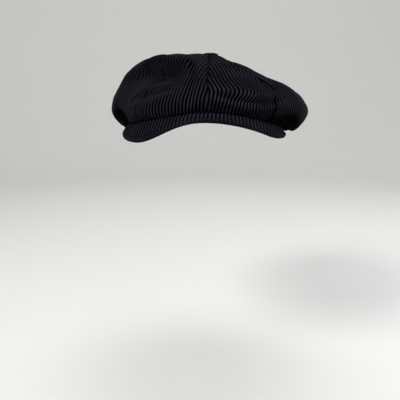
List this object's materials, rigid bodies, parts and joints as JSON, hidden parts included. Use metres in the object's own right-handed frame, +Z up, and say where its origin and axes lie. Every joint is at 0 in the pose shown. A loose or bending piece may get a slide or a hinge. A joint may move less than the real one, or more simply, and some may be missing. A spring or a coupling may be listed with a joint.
{
  "type": "newsboy cap",
  "caption": "Floppy corduroy newsboy cap: panelled crown under a covered button, lined, with a sweatband and a short curved visor.",
  "frame": {"origin": "centre of the head opening, at the height of the hem", "axes": "+Z up through the crown, -Y towards the visor, +X to the right of someone who faces the cap"},
  "size_m": [0.2333, 0.2775, 0.0982],
  "materials": {
    "corduroy": "wide-wale cotton corduroy, very dark navy, soft nap",
    "lining": "smooth satin lining, dark navy",
    "canvas": "stiff woven canvas",
    "sweatband": "cotton twill tape, black",
    "label": "blank woven label",
    "steel": "tinned steel",
    "thread": "polyester thread",
    "felt": "pressed felt",
    "board": "flexible polyethylene board"
  },
  "bodies": {
    "crown": {"crown_panel_front_right": "corduroy", "crown_panel_side_front_right": "corduroy", "crown_panel_side_rear_right": "corduroy", "crown_panel_rear_right": "corduroy", "crown_panel_rear_left": "corduroy", "crown_panel_side_rear_left": "corduroy", "crown_panel_side_front_left": "corduroy", "crown_panel_front_left": "corduroy", "lining_gore_front_right": "lining", "lining_gore_side_front_right": "lining", "lining_gore_side_rear_right": "lining", "lining_gore_rear_right": "lining", "lining_gore_rear_left": "lining", "lining_gore_side_rear_left": "lining", "lining_gore_side_front_left": "lining", "lining_gore_front_left": "lining", "band_stay": "canvas", "sweatband": "sweatband", "label": "label", "button_washer": "felt"},
    "visor": {"visor_board": "board", "visor_top_cover": "corduroy", "visor_under_cover": "corduroy"},
    "button": {"button_cover": "corduroy", "button_shell": "steel", "button_back_plate": "steel", "button_shank": "thread", "button_retainer": "thread"}
  },
  "joints": [
    {"name": "visor_flex", "type": "hinge", "parent": "crown", "child": "visor", "pos_m": [0, -0.04, -0.0124], "axis": [1, 0, 0], "range_deg": [-1.5, 9], "stiffness_Nm_per_rad": 3},
    {"name": "button_turn", "type": "hinge", "parent": "crown", "child": "button", "pos_m": [0.004, 0, 0.062], "axis": [0, 0, 1], "range_deg": [-20, 20], "stiffness_Nm_per_rad": 0.002}
  ]
}
